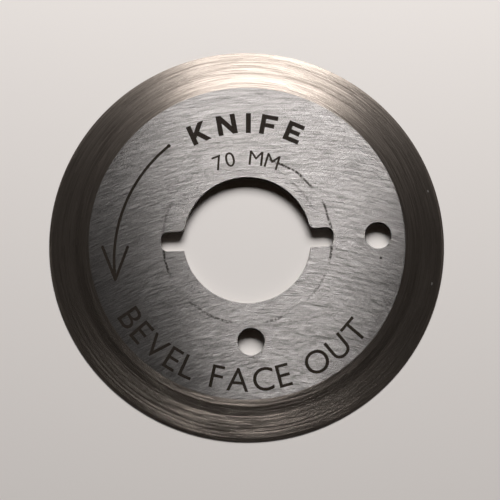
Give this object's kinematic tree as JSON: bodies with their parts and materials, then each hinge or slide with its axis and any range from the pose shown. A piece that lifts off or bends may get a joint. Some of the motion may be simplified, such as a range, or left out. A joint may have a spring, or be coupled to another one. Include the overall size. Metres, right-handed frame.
{
  "type": "rotary cutter blade",
  "caption": "Round steel knife for a hand-held electric cloth cutter: a thin disc with a bevel on one side, a keyed centre bore, pin holes and a turning arrow.",
  "frame": {"origin": "centre of the bore on the flat back, which is also the plane of the keen edge", "axes": "+Z along the bore, out of the marked and bevelled side; +X along the key notches towards the outer pin hole; the inner pin hole is on -Y"},
  "size_m": [0.07, 0.07, 0.0012],
  "materials": {
    "steel": "ground hardened steel, with long grinding lines on the flat face and concentric lines on the bevel"
  },
  "bodies": {
    "root": {"round_blade": "steel"}
  },
  "joints": []
}
